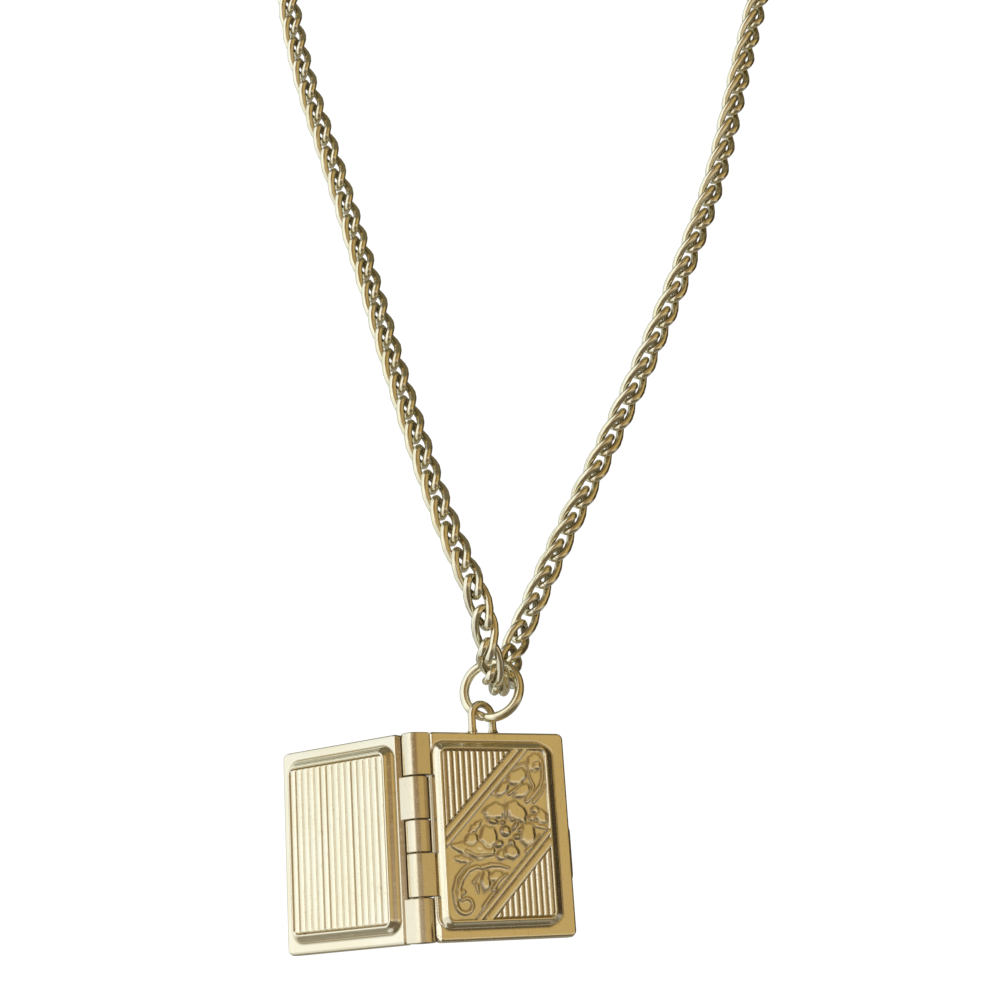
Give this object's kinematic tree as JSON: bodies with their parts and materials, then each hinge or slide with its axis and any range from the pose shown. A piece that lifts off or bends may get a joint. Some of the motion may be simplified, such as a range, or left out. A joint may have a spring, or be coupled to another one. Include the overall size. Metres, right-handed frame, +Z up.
{
  "type": "locket necklace",
  "caption": "Book-shaped photo locket, shown open, hanging by a jump ring from a fine closed curb chain; hinged covers with raised ribs and a diagonal band of flowers.",
  "frame": {"origin": "where the chain rests on the back of the neck, under the clasp at the top of the loop", "axes": "+Z up along the hanging necklace, +X to the right as seen from the front, +Y away from the viewer"},
  "size_m": [0.0708, 0.0179, 0.1971],
  "materials": {
    "cover_metal": "polished gold tone, lightly scratched",
    "chain_metal": "polished pale gold tone"
  },
  "bodies": {
    "necklace": {"chain_left": "chain_metal", "chain_right": "chain_metal", "clasp": "chain_metal"},
    "ring": {"jump_ring": "chain_metal"},
    "front": {"front_cover": "cover_metal", "hinge_pin": "cover_metal"},
    "back": {"back_cover": "cover_metal"}
  },
  "joints": [
    {"name": "ring_swing", "type": "hinge", "parent": "necklace", "child": "ring", "pos_m": [0, 0, -0.16458], "axis": [0.9613, -0.2756, 0], "range_deg": [-20, 20]},
    {"name": "locket_swing", "type": "hinge", "parent": "ring", "child": "front", "pos_m": [-0.0008, 0.00023, -0.17046], "axis": [0.924, -0.265, -0.2756], "range_deg": [-30, 30]},
    {"name": "cover_hinge", "type": "hinge", "parent": "front", "child": "back", "pos_m": [-0.00653, -0.00092, -0.18369], "axis": [-0.116, -0.1249, 0.9854], "range_deg": [-119, 61]}
  ]
}
